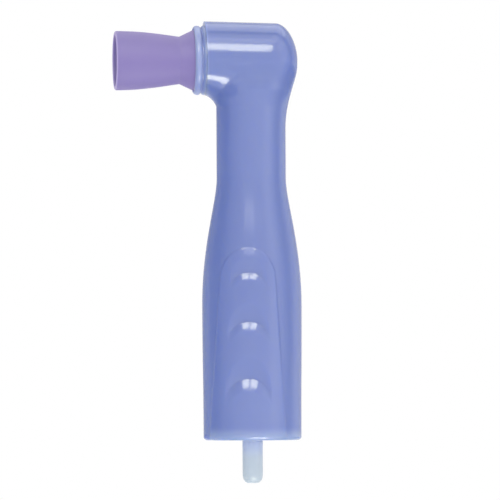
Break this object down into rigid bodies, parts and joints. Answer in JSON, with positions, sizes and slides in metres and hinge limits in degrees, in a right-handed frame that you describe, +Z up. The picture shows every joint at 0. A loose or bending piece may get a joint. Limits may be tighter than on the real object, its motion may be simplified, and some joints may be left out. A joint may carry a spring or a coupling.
{
  "type": "prophy angle",
  "caption": "Disposable dental prophy angle: moulded body with a side-facing head, a bevel gear drive inside and a webbed rubber polishing cup, turned by a straight handpiece.",
  "frame": {"origin": "on the drive axis, in the plane of the sleeve's open end, where the handpiece's nose goes in", "axes": "+Z up the drive axis towards the head; the cup points along -X; the grip tongues face -Y and +Y"},
  "size_m": [0.0216, 0.0122, 0.0533],
  "materials": {
    "body": "glossy translucent periwinkle blue moulded plastic",
    "cap": "the same plastic in a thin, paler ring",
    "gear": "plain white acetal-like plastic",
    "cup": "soft matte lilac rubber",
    "shaft": "natural, milky translucent plastic",
    "bushing": "plain white acetal-like plastic"
  },
  "bodies": {
    "body": {"housing": "body", "head_cap": "cap", "rear_bushing": "bushing"},
    "drive": {"drive_shaft": "shaft"},
    "rotor": {"driven_gear": "gear", "prophy_cup": "cup"}
  },
  "joints": [
    {"name": "drive_spin", "type": "hinge", "parent": "body", "child": "drive", "pos_m": [0, 0, 0], "axis": [0, 0, 1], "continuous": true},
    {"name": "cup_spin", "type": "hinge", "parent": "body", "child": "rotor", "pos_m": [0, 0, 0.04384], "axis": [-1, 0, 0], "continuous": true}
  ],
  "couplings": [
    {"joint": "cup_spin", "follows": "drive_spin", "ratio": 0.64286}
  ]
}
